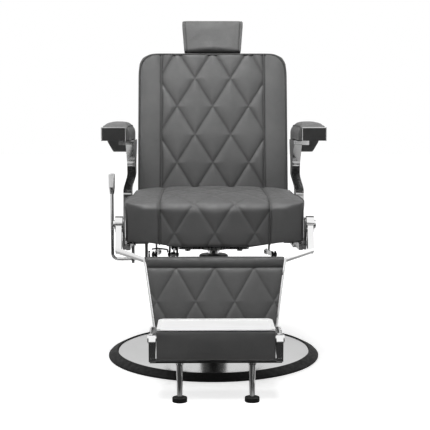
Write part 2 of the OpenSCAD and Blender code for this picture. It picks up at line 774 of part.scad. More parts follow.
module footboard_pad() {
    profile = rounded([[board_rear, 165], [board_rear, plate_top - 5 - GAP], [board_front,
        plate_top - 5 - GAP],
        [board_front, board_low], [515, board_low]], [10, 4, 4, 8, 90]);
    color([0.3, 0.3, 0.31]) difference() {
        side_view(profile, -board_w / 2, board_w / 2);
        both_sides() cross_pin(foot_pivot, pin_r + FIT, board_w / 2 - 20, 300);
    }
}

module footboard_pivots() {
    color("gainsboro") both_sides() {
        cross_pin(foot_pivot, pin_r, board_w / 2 - 19, bracket_x + bracket_t + 1);
        cross_pin(foot_pivot, 12, bracket_x + bracket_t + GAP, bracket_x + bracket_t + 4);
    }
}

// ---- drawing ----
base_weight();
base_cover();
base_ring();
pump_body();
pump_gland();
pump_skirt();
pump_bolts();
pedal_pin();
pedal_arm();
pedal_pad();
ram();
ram_piston();
thrust_washer();
mount_hub();
mount_bolts();
seat_frame();
seat_board();
seat_cushion();
mirror([1, 0, 0]) arm_frame();  // arm_frame_right
arm_frame();  // arm_frame_left
arm_bolts();
mirror([1, 0, 0]) armrest_pad();  // armrest_pad_right
armrest_pad();  // armrest_pad_left
mirror([1, 0, 0]) armrest_trim();  // armrest_trim_right
armrest_trim();  // armrest_trim_left
mirror([1, 0, 0]) armrest_cap();  // armrest_cap_right
armrest_cap();  // armrest_cap_left
legrest_pivots();
back_hinge_shaft();
lever_rod();
lever_grip();
release_cable();
gas_cylinder();
gas_rod();
back_frame();
back_cross_rod();
link_pins();
back_board();
back_cushion();
back_shell();
headrest_socket();
headrest_button();
headrest_bar();
headrest_board();
headrest_cushion();
mirror([1, 0, 0]) link();  // link_right
link();  // link_left
mirror([1, 0, 0]) legrest_arm();  // legrest_arm_right
legrest_arm();  // legrest_arm_left
legrest_tubes();
calf_board();
calf_pad();
mirror([1, 0, 0]) foot_bracket();  // foot_bracket_right
foot_bracket();  // foot_bracket_left
foot_tie_bar();
stand_legs();
stand_tips();
footboard_plate();
footboard_pad();
footboard_pivots();
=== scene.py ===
"""Visual model of the hydraulic barber chair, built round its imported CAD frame."""
import json
import math

import bmesh
import bpy
import numpy as np
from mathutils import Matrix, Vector
from mathutils.bvhtree import BVHTree


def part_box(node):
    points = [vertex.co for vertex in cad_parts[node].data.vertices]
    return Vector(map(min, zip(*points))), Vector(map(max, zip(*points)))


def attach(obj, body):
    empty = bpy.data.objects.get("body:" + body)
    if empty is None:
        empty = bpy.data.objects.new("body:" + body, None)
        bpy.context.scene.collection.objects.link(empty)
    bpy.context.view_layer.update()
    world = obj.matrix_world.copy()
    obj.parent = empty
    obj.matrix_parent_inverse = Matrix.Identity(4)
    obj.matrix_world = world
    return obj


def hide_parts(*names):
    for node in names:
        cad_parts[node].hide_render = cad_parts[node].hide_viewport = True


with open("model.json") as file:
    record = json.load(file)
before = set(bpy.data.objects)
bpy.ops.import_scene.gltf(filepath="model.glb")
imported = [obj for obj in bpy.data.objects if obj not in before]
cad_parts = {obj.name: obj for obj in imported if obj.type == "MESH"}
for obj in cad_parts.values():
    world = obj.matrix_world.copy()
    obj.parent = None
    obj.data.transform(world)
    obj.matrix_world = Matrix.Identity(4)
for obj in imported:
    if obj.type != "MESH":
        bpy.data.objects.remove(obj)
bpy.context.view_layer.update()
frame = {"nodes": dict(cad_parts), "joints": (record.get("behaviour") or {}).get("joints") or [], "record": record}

NODES = frame["nodes"]
JOINTS = {j["name"]: j for j in frame["joints"]}
SCENE = bpy.context.scene
MM = 0.001
SIDES = (("left", 1), ("right", -1))
CLOTH_FRAMES = 18      # length of the cloth run that swells the cushions
STITCH_AND_PAINTED_SHADE = "stitch_and_painted_shade"          # the cover's attribute that darkens it: along its stitch lines and creases, partly as painted shadow, and in patches of painted shade


# ---------------------------------------------------------------- node materials

class Graph:
    """A material's node tree, with short calls that add a node and link its inputs."""

    def __init__(self, name):
        self.material = bpy.data.materials.new(name)
        self.material.use_nodes = True
        self.tree = self.material.node_tree
        self.shader = self.tree.nodes["Principled BSDF"]
        self.coord = self.add("ShaderNodeTexCoord").outputs["Object"]

    def add(self, kind, inputs=None, **settings):
        node = self.tree.nodes.new(kind)
        for key, value in settings.items():
            setattr(node, key, value)
        for key, value in (inputs or {}).items():
            self.put(node.inputs[key], value)
        return node

    def put(self, socket, value):
        if isinstance(value, bpy.types.NodeSocket):
            self.tree.links.new(value, socket)
        else:
            socket.default_value = value

    def set(self, **values):
        for key, value in values.items():
            self.put(self.shader.inputs[key.replace("_", " ")], value)

    def stretch(self, scale):
        return self.add("ShaderNodeMapping", {"Vector": self.coord, "Scale": scale}).outputs["Vector"]

    def noise(self, scale, detail=3.0, vector=None, distortion=0.0):
        return self.add("ShaderNodeTexNoise", {
            "Vector": vector or self.coord, "Scale": scale, "Detail": detail,
            "Distortion": distortion, "Roughness": 0.55}).outputs["Fac"]

    def cells(self, scale):
        return self.add("ShaderNodeTexVoronoi", {"Vector": self.coord, "Scale": scale}).outputs["Distance"]

    def ramp(self, fac, low, high):
        """Colours a noise value, with its middle part stretched over the whole way from low to high."""
        node = self.add("ShaderNodeValToRGB", {"Fac": fac})
        for element, place, colour in zip(node.color_ramp.elements, (0.35, 0.65), (low, high)):
            element.position = place
            element.color = grey(colour) if isinstance(colour, float) else (*colour[:3], 1)
        return node.outputs["Color"]

    def range(self, fac, low, high, start=0.35, end=0.65):
        node = self.add("ShaderNodeMapRange", {
            "Value": fac, "From Min": start, "From Max": end, "To Min": low, "To Max": high})
        return node.outputs["Result"]

    def blend(self, fac, a, b):
        node = self.add("ShaderNodeMix", data_type="RGBA")
        sockets = [s for s in node.inputs if s.enabled]
        for socket, value in zip(sockets, (fac, a, b)):
            self.put(socket, value)
        return [s for s in node.outputs if s.enabled][0]

    def math(self, operation, a, b=0.0):
        node = self.add("ShaderNodeMath", operation=operation)
        self.put(node.inputs[0], a)
        self.put(node.inputs[1], b)
        return node.outputs[0]

    def edges(self, low, high, start=0.5, end=0.56):
        """1 on raised edges and 0 in hollows, for wear, and on leather for painted shade in hollows and a partly
        painted sheen on raised edges.
        """
        return self.range(self.add("ShaderNodeNewGeometry").outputs["Pointiness"], low, high, start, end)

    def bump(self, *layers):
        normal = None
        for height, strength, distance in layers:
            node = self.add("ShaderNodeBump", {"Height": height, "Strength": strength, "Distance": distance})
            if normal:
                self.put(node.inputs["Normal"], normal)
            normal = node.outputs["Normal"]
        self.set(Normal=normal)


def grey(v):
    return (v, v, v, 1.0)


def leather(name, shade, rough=0.5, grain=1.0, crease=0.5):
    """Soft pebbled hide: fine grain cells, slow colour drift, painted shade in its creases, and worn crowns
    painted lighter, partly as a painted sheen.
    """
    g = Graph(name)
    drift = g.noise(9.0, 4.0)
    fine = g.noise(420.0, 2.0)
    base = g.ramp(drift, shade * 0.9, shade * 1.08)
    pores = g.cells(900.0)
    base = g.blend(g.range(pores, 0.22, 0.0, 0.0, 0.45), base, grey(shade * 0.45))
    # painted shade: the hollows darkened
    painted_crease_shade = g.edges(crease, 0.0, 0.42, 0.5)
    base = g.blend(painted_crease_shade, base, grey(shade * 0.5))
    # lighter on the raised crowns: wear, partly a painted sheen
    crown = g.edges(0.0, 0.22, 0.5, 0.6)
    base = g.blend(crown, base, grey(shade * 1.7))
    # darker stitch lines and creases, partly painted shadow, and patches of painted shade, from the cover's
    # attribute
    stitch_and_painted_shade = g.add("ShaderNodeAttribute", attribute_name=STITCH_AND_PAINTED_SHADE).outputs["Fac"]
    base = g.blend(stitch_and_painted_shade, base, grey(shade * 0.12))
    g.set(Base_Color=base, Roughness=g.range(g.noise(60.0, 3.0), rough - 0.07, rough + 0.09))
    g.put(g.shader.inputs["Specular IOR Level"], 0.42)
    g.put(g.shader.inputs["Sheen Weight"], 0.08)
    g.put(g.shader.inputs["Sheen Roughness"], 0.6)
    wrinkles = g.noise(38.0, 5.0, distortion=0.8)
    g.bump((wrinkles, 0.14 * grain, 0.004), (pores, 0.32 * grain, 0.0006), (fine, 0.12 * grain, 0.0005))
    return g.material


def chrome(name, shade=0.82, rough=0.06):
    """Polished plate with faint ripple, polishing haze and a few duller smears."""
    g = Graph(name)
    smear = g.noise(24.0, 6.0, g.stretch((1.0, 1.0, 0.35)), 0.6)
    g.set(Base_Color=g.ramp(g.noise(6.0), shade * 0.93, shade), Metallic=1.0,
          Roughness=g.range(smear, rough, rough + 0.07, 0.4, 0.75))
    g.bump((g.noise(14.0, 2.0), 0.05, 0.004), (g.noise(700.0, 2.0), 0.015, 0.0004))
    return g.material


def brushed(name, shade, stretch, rough=0.28):
    """Sheet or bar metal with long fine brush lines."""
    g = Graph(name)
    lines = g.noise(180.0, 4.0, g.stretch(stretch))
    g.set(Base_Color=g.ramp(lines, shade * 0.86, shade), Metallic=1.0,
          Roughness=g.range(lines, rough - 0.08, rough + 0.1))
    g.bump((lines, 0.12, 0.0005), (g.noise(20.0), 0.04, 0.003))
    return g.material


def steel_with_painted_reflection(name):
    """Satin steel tread plate with fine brush lines, given a near-white colour as a painted reflection of the
    bright room.
    """
    g = Graph(name)
    lines = g.noise(200.0, 4.0, g.stretch((0.03, 1.0, 1.0)))
    g.set(Base_Color=g.ramp(lines, 0.94, 1.0), Metallic=0.12, Roughness=g.range(lines, 0.38, 0.5))
    g.bump((lines, 0.08, 0.0004), (g.noise(20.0), 0.03, 0.003))
    return g.material


def enamel(name, shade=0.016, rough=0.28):
    """Gloss black enamel: orange peel, thin worn edges and settled dust."""
    g = Graph(name)
    dust = g.range(g.noise(30.0, 6.0), 0.0, 0.25, 0.5, 0.8)
    base = g.blend(dust, grey(shade), grey(0.09))
    base = g.blend(g.edges(0.0, 0.5, 0.56, 0.68), base, grey(0.24))
    g.set(Base_Color=base, Roughness=g.range(g.noise(45.0, 4.0), rough, rough + 0.18))
    g.put(g.shader.inputs["Coat Weight"], 0.4)
    g.bump((g.noise(260.0, 2.0), 0.1, 0.0008), (g.noise(12.0), 0.05, 0.003))
    return g.material


def rubber(name, shade=0.006, rough=0.66):
    """Moulded black rubber: matt, finely pitted, with chalky scuffs."""
    g = Graph(name)
    scuff = g.range(g.noise(35.0, 8.0, distortion=1.2), 0.0, 0.35, 0.55, 0.8)
    base = g.blend(scuff, g.ramp(g.noise(8.0), shade * 0.8, shade * 1.3), grey(0.02))
    g.set(Base_Color=base, Roughness=g.range(g.noise(90.0, 4.0), rough - 0.1, rough + 0.12))
    g.bump((g.noise(900.0, 3.0), 0.25, 0.0006), (g.noise(30.0, 4.0), 0.1, 0.002))
    g.put(g.shader.inputs["Specular IOR Level"], 0.25)
    return g.material


def plastic(name, shade, rough=0.42, tint=(1.0, 1.0, 1.0)):
    """Moulded plastic with a spark-eroded texture."""
    g = Graph(name)
    low, high = (tuple(shade * k * t for t in tint) for k in (0.85, 1.15))
    g.set(Base_Color=g.ramp(g.noise(22.0, 4.0), low, high),
          Roughness=g.range(g.noise(120.0, 3.0), rough - 0.06, rough + 0.1))
    g.bump((g.cells(1100.0), 0.2, 0.0004), (g.noise(40.0), 0.04, 0.002))
    return g.material


def casting(name, shade=0.05):
    """Rough sand casting under a thin black wash."""
    g = Graph(name)
    grit = g.noise(260.0, 6.0)
    g.set(Base_Color=g.ramp(g.noise(18.0, 5.0), shade * 0.6, shade * 1.6), Metallic=0.35,
          Roughness=g.range(grit, 0.55, 0.85))
    g.bump((grit, 0.5, 0.0012), (g.noise(25.0, 4.0), 0.3, 0.003))
    return g.material


LEATHER_SHADE = 0.082
PIPING = (0.46, 0.6, 0.2)    # roughness, grain and crease of the narrow cords' leather
MATERIALS = {
    "grey_leather": leather("grey_leather", LEATHER_SHADE),
    "grey_leather_shell": leather("grey_leather_shell", LEATHER_SHADE * 0.9, 0.55),
    "piping_leather": leather("piping_leather", 0.028, *PIPING),
    "cord_leather": leather("cord_leather", 0.05, *PIPING),
    "chrome": chrome("chrome"),
    "chrome_cover": chrome("chrome_cover", 0.62, 0.14),
    "plated_steel": brushed("plated_steel", 0.6, (1.0, 1.0, 0.05)),
    "black_enamel": enamel("black_enamel"),
    "cast_weight": casting("cast_weight"),
    "black_rubber": rubber("black_rubber"),
    "black_plastic": plastic("black_plastic", 0.022),
    "thrust_plastic": plastic("thrust_plastic", 0.6, 0.4, (1.0, 0.96, 0.86)),
    "black_ply": plastic("black_ply", 0.02, 0.6),
    "steel_with_painted_reflection": steel_with_painted_reflection("steel_with_painted_reflection"),
}


# ---------------------------------------------------------------- local frames

class Plane:
    """A piece's own frame, in millimetres: x across the chair, out of its face, and up along it."""

    def __init__(self, origin, lean, down=False):
        """lean in degrees: backwards for the back, forwards at its foot for the leg rest."""
        c, s = math.cos(math.radians(lean)), math.sin(math.radians(lean))
        self.origin = np.array(origin, float)
        self.out = np.array((0.0, -c, s))
        self.up = np.array((0.0, -s, -c)) if down else np.array((0.0, s, c))

    def local(self, co):
        rel = (co - self.origin) / MM
        return rel[:, 0], rel @ self.out, rel @ self.up

    def world(self, x, out, up):
        parts = np.stack(np.broadcast_arrays(*(np.asarray(v, float) for v in (x, out, up))), -1)
        axes = np.stack([np.array((1.0, 0.0, 0.0)), self.out, self.up])
        return self.origin + parts @ axes * MM


slide = JOINTS["headrest_slide"]["axis"]
BACK_LEAN = math.degrees(math.atan2(slide[1], slide[2]))
LEG_LEAN = 20.0                   # of the calf pad, forwards at its foot
LEG_TOP = (0.0, -0.332, 0.374)    # the middle of the calf pad's top edge
BACK = Plane(JOINTS["back_recline"]["pos_m"], BACK_LEAN)
LEG = Plane(LEG_TOP, LEG_LEAN, down=True)

SEAT_LOW, SEAT_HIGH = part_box("seat_cushion")
SEAT_TOP = SEAT_HIGH.z / MM
SEAT_FRONT = -SEAT_LOW.y / MM


# ---------------------------------------------------------------- mesh helpers

def new_object(name, mesh):
    ob = bpy.data.objects.new(name, mesh)
    SCENE.collection.objects.link(ob)
    return ob


def triples(data, field):
    out = np.empty(len(data) * 3, np.float32)
    data.foreach_get(field, out)
    return out.reshape(-1, 3).astype(float)


def read(mesh):
    return triples(mesh.vertices, "co")


def write(mesh, co):
    mesh.vertices.foreach_set("co", co.astype(np.float32).ravel())
    mesh.update()


def normals(mesh):
    mesh.update()
    return triples(mesh.vertex_normals, "vector")


def applied(ob, *modifiers):
    """The object's mesh after these modifiers, as its new mesh."""
    for kind, settings in modifiers:
        mod = ob.modifiers.new(kind, kind)
        for key, value in settings.items():
            setattr(mod, key, value)
    old = ob.data
    depsgraph = bpy.context.evaluated_depsgraph_get()
    depsgraph.update()
    ob.data = bpy.data.meshes.new_from_object(ob.evaluated_get(depsgraph))
    ob.modifiers.clear()
    bpy.data.meshes.remove(old)
    return ob


def darken(ob, amount):
    """Marks where leather is darker, as in its stitch lines and in patches of painted shade: amount is one value
    from 0 to 1 per vertex.
    """
    layer = ob.data.attributes.new(STITCH_AND_PAINTED_SHADE, "FLOAT", "POINT")
    layer.data.foreach_set("value", np.clip(amount, 0, 1).astype(np.float32))


def finish_piece(ob, body, slot, material=None, nodes=()):
    mesh = ob.data
    mesh.materials.clear()
    mesh.materials.append(MATERIALS[material or slot])
    mesh.shade_smooth()
    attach(ob, body)
    if nodes:
        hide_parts(*nodes)
    return ob


def step(v, low, high):
    """Smooth 0 to 1 as v goes from low to high, which may be the smaller."""
    t = np.clip((v - low) / (high - low), 0.0, 1.0)
    return t * t * (3 - 2 * t)


CORD = 2.6             # usual radius of a piping cord
CORD_SIDES = 10
CORD_CAP = ((0.0, 0.05), (0.35, 0.6), (0.75, 0.93))    # its domed end: along and round, in radii
OFF_AXIS = (0.31, 0.52, 0.79)                          # a direction that no cord runs along


def tube_mesh(name, path, radius):
    """A round cord along path, with domed ends."""
    path = np.asarray(path, float)
    tangent = np.gradient(path, axis=0)
    tangent /= np.linalg.norm(tangent, axis=1)[:, None]
    side = np.cross(tangent[0], OFF_AXIS)
    rows = []
    for ahead in tangent:
        side = side - ahead * (side @ ahead)
        side /= np.linalg.norm(side)
        rows.append((side, np.cross(ahead, side)))

    start = [path[0] - tangent[0] * radius * (1 - along) for along, _ in CORD_CAP]
    end = [path[-1] + tangent[-1] * radius * (1 - along) for along, _ in CORD_CAP[::-1]]
    cap_radii = [radius * across for _, across in CORD_CAP]
    radii = cap_radii + [radius] * len(path) + cap_radii[::-1]
    path = np.vstack([start, path, end])
    rows = [rows[0]] * len(start) + rows + [rows[-1]] * len(end)

    turn = np.linspace(0, 2 * math.pi, CORD_SIDES, endpoint=False)
    verts = [tuple(centre + r * (math.cos(t) * across + math.sin(t) * up))
             for centre, r, (across, up) in zip(path, radii, rows) for t in turn]
    faces = []
    for ring in range(len(path) - 1):
        here, there = ring * CORD_SIDES, (ring + 1) * CORD_SIDES
        for k in range(CORD_SIDES):
            k2 = (k + 1) % CORD_SIDES
            faces.append((here + k, here + k2, there + k2, there + k))
    faces.append(tuple(range(CORD_SIDES))[::-1])
    faces.append(tuple(range(len(verts) - CORD_SIDES, len(verts))))

    mesh = bpy.data.meshes.new(name)
    mesh.from_pydata(verts, [], faces)
    work = bmesh.new()
    work.from_mesh(mesh)
    bmesh.ops.recalc_face_normals(work, faces=work.faces)
    work.to_mesh(mesh)
    work.free()
    return mesh


def tree_of(ob):
    mesh = ob.data
    return BVHTree.FromPolygons([v.co for v in mesh.vertices], [tuple(p.vertices) for p in mesh.polygons])


REACH = 0.12           # how far from a surface a laid point may start, in metres


def laid(tree, points, towards, lift):
    """Points dropped onto a surface along the direction towards it, then lifted back out by lift."""
    towards = Vector(towards).normalized()
    out = []
    for p in points:
        spot = tree.ray_cast(Vector(p) - towards * REACH, towards, 2 * REACH)[0]
        if spot is not None:
            out.append(np.array(spot - towards * lift))
    return np.array(out)


def hugging(tree, points, lift):
    """Points moved to the nearest spot on a surface, then lifted along its normal."""
    out = []
    for p in points:
        spot, normal, *_ = tree.find_nearest(Vector(p))
        out.append(np.array(spot + normal * lift))
    return np.array(out)


def eased(points, rounds=3):
    """The same path with its kinks smoothed and its ends kept."""
    points = np.array(points, float)
    for _ in range(rounds):
        near = (np.roll(points, 1, 0) + np.roll(points, -1, 0)) / 2
        points[1:-1] = (0.5 * points + 0.5 * near)[1:-1]
    return points


def spaced(points, gap):
    """The same path with evenly spaced points."""
    points = np.array(points, float)
    run = np.concatenate([[0.0], np.cumsum(np.linalg.norm(np.diff(points, axis=0), axis=1))])
    count = max(4, int(run[-1] / gap))
    at = np.linspace(0, run[-1], count + 1)
    return np.stack([np.interp(at, run, points[:, k]) for k in range(3)], -1)


# ---------------------------------------------------------------- soft goods

LEATHER_CLOTH = {"quality": 4, "mass": 0.3, "air_damping": 2.0, "tension_stiffness": 12.0,
                 "compression_stiffness": 12.0, "shear_stiffness": 6.0, "bending_stiffness": 0.6,
                 "use_pressure": True}
PIN_LEVELS = (0.25, 0.5, 0.75, 1.0)
STITCH_HOLD = 3.2      # half width of the strip that a quilting line holds down
SEAM_HOLD = 3.4        # and of the one along a seam


class Soft:
    """A padded piece: the CAD solid remeshed, swollen by cloth pressure between pinned seams, then stitched."""

    def __init__(self, name, node, voxel, inset, rounding, shape=None, filled=False):
        """voxel and inset are in millimetres, rounding in smoothing passes. filled: use the convex hull."""
        source = NODES[node].data.copy()
        source.materials.clear()
        work = bmesh.new()
        work.from_mesh(source)
        bmesh.ops.remove_doubles(work, verts=work.verts, dist=1e-5)
        if filled:
            bmesh.ops.delete(work, geom=work.faces[:], context="FACES_ONLY")
            hull = bmesh.ops.convex_hull(work, input=work.verts[:])
            inside = hull["geom_interior"] + hull["geom_unused"]
            spare = {v for v in inside if isinstance(v, bmesh.types.BMVert)}
            bmesh.ops.delete(work, geom=list(spare), context="VERTS")
        work.to_mesh(source)
        work.free()
        self.ob = new_object(name, source)
        applied(self.ob, ("REMESH", {"mode": "VOXEL", "voxel_size": voxel * MM}))
        applied(self.ob, ("SMOOTH", {"factor": 0.5, "iterations": rounding}))
        mesh = self.ob.data
        co = read(mesh) - normals(mesh) * inset * MM
        if shape:
            co = shape(co)
        write(mesh, co)
        self.pins = np.zeros(len(co))

    @property
    def co(self):
        return read(self.ob.data)

    def move(self, offset):
        """Moves each vertex along its normal by offset, in millimetres."""
        mesh = self.ob.data
        write(mesh, read(mesh) + normals(mesh) * (offset * MM)[:, None])

    def cut(self, where):
        """Removes the faces that have all their corners where this is true."""
        work = bmesh.new()
        work.from_mesh(self.ob.data)
        doomed = [f for f in work.faces if all(where[v.index] for v in f.verts)]
        bmesh.ops.delete(work, geom=doomed, context="FACES")
        work.to_mesh(self.ob.data)
        work.free()

    def pin(self, where):
        self.pins = np.maximum(self.pins, np.asarray(where, float))

    def add_cloth(self, pressure, cap):
        """Sets up the swelling. It is never more than cap, in millimetres, and less where pinned."""
        self.cap = cap * MM
        self.start = self.co
        group = self.ob.vertex_groups.new(name="pin")
        for level in PIN_LEVELS:
            low, high = level - PIN_LEVELS[0] / 2, level + PIN_LEVELS[0] / 2
            chosen = np.nonzero((self.pins > low) & (self.pins <= high))[0]
            if len(chosen):
                group.add(chosen.tolist(), level, "REPLACE")
        cloth = self.ob.modifiers.new("cloth", "CLOTH")
        cloth.point_cache.frame_start, cloth.point_cache.frame_end = 1, CLOTH_FRAMES
        cloth.collision_settings.use_collision = False
        for key, value in LEATHER_CLOTH.items():
            setattr(cloth.settings, key, value)
        cloth.settings.uniform_pressure_force = pressure
        cloth.settings.effector_weights.gravity = 0.0
        cloth.settings.vertex_group_mass = "pin"

    def take_cloth(self):
        depsgraph = bpy.context.evaluated_depsgraph_get()
        swollen = self.ob.evaluated_get(depsgraph).to_mesh()
        after = read(swollen)
        self.ob.evaluated_get(depsgraph).to_mesh_clear()
        self.ob.modifiers.clear()
        self.ob.vertex_groups.clear()
        shift = after - self.start
        length = np.linalg.norm(shift, axis=1)
        # near the cap the swelling eases off, so no flat spot forms
        eased_length = self.cap * np.tanh(length / self.cap)
        shift *= (eased_length / np.maximum(length, 1e-9))[:, None]
        write(self.ob.data, self.start + shift)

    def refine(self):
        applied(self.ob, ("SUBSURF", {"levels": 1, "render_levels": 1}))


def swell(pieces):
    """Runs the cloth pressure on all the pieces at once."""
    for f in range(1, CLOTH_FRAMES + 1):
        SCENE.frame_set(f)
    for piece in pieces:
        piece.take_cloth()
    SCENE.frame_set(1)


class Quilt:
    """Two crossing families of straight stitch lines. a and b are a diamond's half width and half height."""

    def __init__(self, a, b, crossing):
        """crossing: how far along the cover one of the crossings on the middle line lies."""
        self.a, self.b, self.crossing = a, b, crossing
        self.slope = math.hypot(0.5 / a, 0.5 / b)

    def distance(self, x, s):
        p = x / (2 * self.a)
        q = (s - self.crossing) / (2 * self.b)
        one, two = (np.abs(v - np.round(v)) / self.slope for v in (p + q, p - q))
        return np.minimum(one, two)


def line(distance, width):
    """1 on a line and falling to 0 beside it."""
    return np.exp(-(np.abs(distance) / width) ** 2)


def groove(distance, depth, width):
    """A sewn channel: sharp at the thread, easing out over width."""
    return -depth * np.exp(-np.abs(distance) / width)


# ---------------------------------------------------------------- back cushion

BACK_SEAM = 179.0      # the bolster piping, each side of the middle
BACK_TOP = BACK.local(np.array([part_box("back_shell")[1]]))[2][0]
BACK_QUILT = Quilt(62.5, 99.5, 386.5)
BACK_FRONT = 45.0      # out of the hinge's plane, at the cushion's face
BACK_EDGE = 22.0       # where the face's rounded edge begins
BACK_REAR = -14.0      # where the cushion meets its board
BACK_FOOT = 60.0       # up from the hinge: below this the cushion's rear stays put
BACK_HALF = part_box("back_cushion")[1].x / MM

back = Soft("back_cushion_cover", "back_cushion", 5.0, 4.0, 5)
x, out, up = BACK.local(back.co)
facing = normals(back.ob.data) @ BACK.out
front = step(facing, 0.15, 0.55)
inner = 1 - step(np.abs(x), BACK_SEAM - 4, BACK_SEAM)
stitch = BACK_QUILT.distance(x, up)
seam = np.abs(np.abs(x) - BACK_SEAM)
back.move(front * (inner * groove(stitch, 5.0, 9.0) + groove(seam, 5.0, 8.0)))
back.pin(front * inner * (stitch < STITCH_HOLD))
back.pin(front * (seam < SEAM_HOLD))
back.pin((facing > 0.3) & (facing < 0.72) & (out > BACK_EDGE))     # round the face
back.pin(out < BACK_REAR)
back.pin((out < 0) & (np.abs(facing) < 0.5) & (up < BACK_FOOT))    # by the seat
back.add_cloth(5.0, 11.0)


# ---------------------------------------------------------------- seat cushion

SEAT_SEAM = 167.0      # the bolster piping, each side of the middle
SEAT_ROUND = 44.0      # radius of the front top edge
SEAT_QUILT = Quilt(61.0, 98.0, 125.0)
SEAT_HALF = SEAT_HIGH.x / MM
SEAT_CROWN = 14.0      # how far the middle stands above the flat cushion
SEAT_DEPTH = 115.0     # the crown fades out this far below the top
SEAT_SIDE = 255.0      # beyond this the cushion's side faces stay flat
SEAT_LIP = 418.0       # height under which the upright faces stay flat


def seat_run(depth, height):
    """Distance along the cover, over the top and down the front, from where the front edge starts to turn."""
    d, z = depth - (SEAT_FRONT - SEAT_ROUND), height - (SEAT_TOP - SEAT_ROUND)
    turn = SEAT_ROUND * np.arctan2(np.maximum(d, 0), np.maximum(z, 1e-6))
    return np.where(d < 0, d, np.where(z < 0, SEAT_ROUND * math.pi / 2 - z, turn))


def crowned(co):
    """The seat's middle stands up behind its straight front edge, and its sides fall away."""
    co = co.copy()
    x, z = np.abs(co[:, 0]) / MM, co[:, 2] / MM
    behind = step(-co[:, 1] / MM, SEAT_FRONT - 12.0, SEAT_FRONT - 150.0)
    shoulder = np.clip((x - SEAT_SEAM) / 105.0, 0.0, 1.2) ** 2
    over = SEAT_CROWN - 3.0 * (x / SEAT_SEAM) ** 2 - 9.0 * shoulder
    rise = over * behind - 2.0 * shoulder * (1 - behind)
    co[:, 2] += MM * rise * step(z, SEAT_TOP - SEAT_DEPTH, SEAT_TOP)
    return co


seat = Soft("seat_cushion_cover", "seat_cushion", 5.0, 3.0, 6, crowned)
co = seat.co
face = normals(seat.ob.data)
run = seat_run(-co[:, 1] / MM, co[:, 2] / MM)
front = step(np.maximum(face[:, 2], -face[:, 1]), 0.2, 0.55)
across = np.abs(co[:, 0]) / MM
inner = 1 - step(across, SEAT_SEAM - 4, SEAT_SEAM)
stitch = SEAT_QUILT.distance(co[:, 0] / MM, run)
seam = np.abs(across - SEAT_SEAM)
seat.move(front * (inner * groove(stitch, 4.0, 9.0) + groove(seam, 5.0, 8.0)))
seat.pin(front * inner * (stitch < STITCH_HOLD))
seat.pin(front * (seam < SEAM_HOLD))
seat.pin(face[:, 2] < -0.5)                                         # underneath
seat.pin((co[:, 2] / MM < SEAT_LIP) & (np.abs(face[:, 2]) < 0.5))
seat.pin((np.abs(face[:, 0]) > 0.5) & (across > SEAT_SIDE))
seat.pin((face[:, 1] > 0.4) & (co[:, 1] > 0.1))                     # by the backrest
seat.add_cloth(5.0, 9.0)


# ---------------------------------------------------------------- headrest pillow

PILLOW_REAR = -17.0    # out of the hinge's plane: behind this the pillow stays put
PILLOW_EDGE = 30.0     # and in front of this, round its face
head = Soft("headrest_pillow_cover", "headrest_cushion", 3.5, 2.2, 3)
x, out, up = BACK.local(head.co)
PILLOW_TOP_X = np.abs(x[up > up.max() - 12]).max() - 9     # the side seams, at the pillow's top and foot
PILLOW_LOW_X = np.abs(x[up < up.min() + 12]).max() - 9
facing = normals(head.ob.data) @ BACK.out
head.pin(out < PILLOW_REAR)
head.pin((facing > 0.42) & (facing < 0.7) & (out > PILLOW_EDGE))
head.add_cloth(5.0, 9.0)


# ---------------------------------------------------------------- calf pad

CALF_BAND = 27.0       # plain band above the quilting
CALF_QUILT = Quilt(58.0, 100.0, CALF_BAND + 2.0)
CALF_REAR = -30.0      # out of its top edge's plane: behind this the pad stays put
CALF_FOOT = 195.0      # and below this, apart from its face
calf = Soft("calf_pad_cover", "calf_pad", 4.5, 1.0, 3)
x, out, down = LEG.local(calf.co)
facing = normals(calf.ob.data) @ LEG.out
front = step(facing, 0.2, 0.6)
inner = front * step(down, CALF_BAND - 1, CALF_BAND + 3)
stitch = CALF_QUILT.distance(x, down)
seam = np.abs(down - CALF_BAND)
calf.move(inner * groove(stitch, 3.5, 8.0) + front * groove(seam, 4.5, 6.0))
calf.pin(inner * (stitch < 2.8))
calf.pin(front * (seam < 3.0))
calf.pin((out < CALF_REAR) | (np.abs(normals(calf.ob.data)[:, 0]) > 0.6))
calf.pin((down > CALF_FOOT) & (facing < 0.7))
calf.add_cloth(5.0, 7.0)


# ---------------------------------------------------------------- footboard and armrest pads

foot = Soft("footboard_pad_cover", "footboard_pad", 4.5, 0.8, 2)
face = normals(foot.ob.data)
foot.pin(np.abs(face).max(1) < 0.93)    # the rounded edges
foot.pin(face[:, 2] > 0.5)              # under the step plate
foot.pin(np.abs(face[:, 0]) > 0.5)      # by the brackets
foot.add_cloth(3.0, 2.5)

ARM_LOW, ARM_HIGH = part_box("armrest_pad_left")
ARM_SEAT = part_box("armrest_cap_left")[0].z / MM
arm = Soft("armrest_pad_left_cover", "armrest_pad_left", 3.5, 1.2, 3)
face = normals(arm.ob.data)
arm.pin(face[:, 2] < 0.0)
arm.pin(face[:, 1] < -0.6)              # behind the front cap
arm.add_cloth(4.0, 4.0)

swell([back, seat, head, calf, foot, arm])


# ---------------------------------------------------------------- upholstered rear of the back

